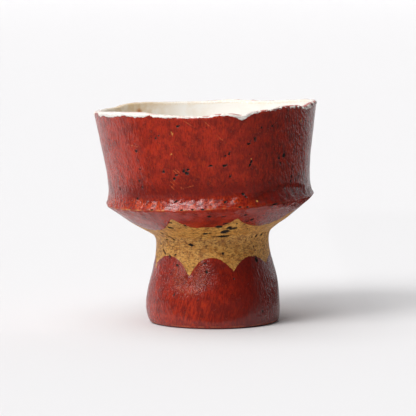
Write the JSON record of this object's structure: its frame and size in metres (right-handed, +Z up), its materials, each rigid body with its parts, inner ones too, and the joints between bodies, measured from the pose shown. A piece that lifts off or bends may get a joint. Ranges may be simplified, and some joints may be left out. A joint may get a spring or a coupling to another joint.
{
  "type": "cup",
  "caption": "Hand-built footed ceramic cup: a flared bowl with a torn rim and a sharp keel on a tall hollow foot, red with a scalloped ochre band, white inside.",
  "frame": {"origin": "On the surface the cup stands on, below the middle of its bounding box. The middle of the foot is 3.4 mm towards +X from there, because the bowl leans.", "axes": "+Z up through the open bowl, -Y towards the front that the picture shows, +X to the right. The bowl leans towards -X."},
  "size_m": [0.0844, 0.0848, 0.084],
  "materials": {
    "red_slip": "satin",
    "white_glaze": "gloss"
  },
  "bodies": {
    "root": {"cup": "red_slip"}
  },
  "joints": []
}
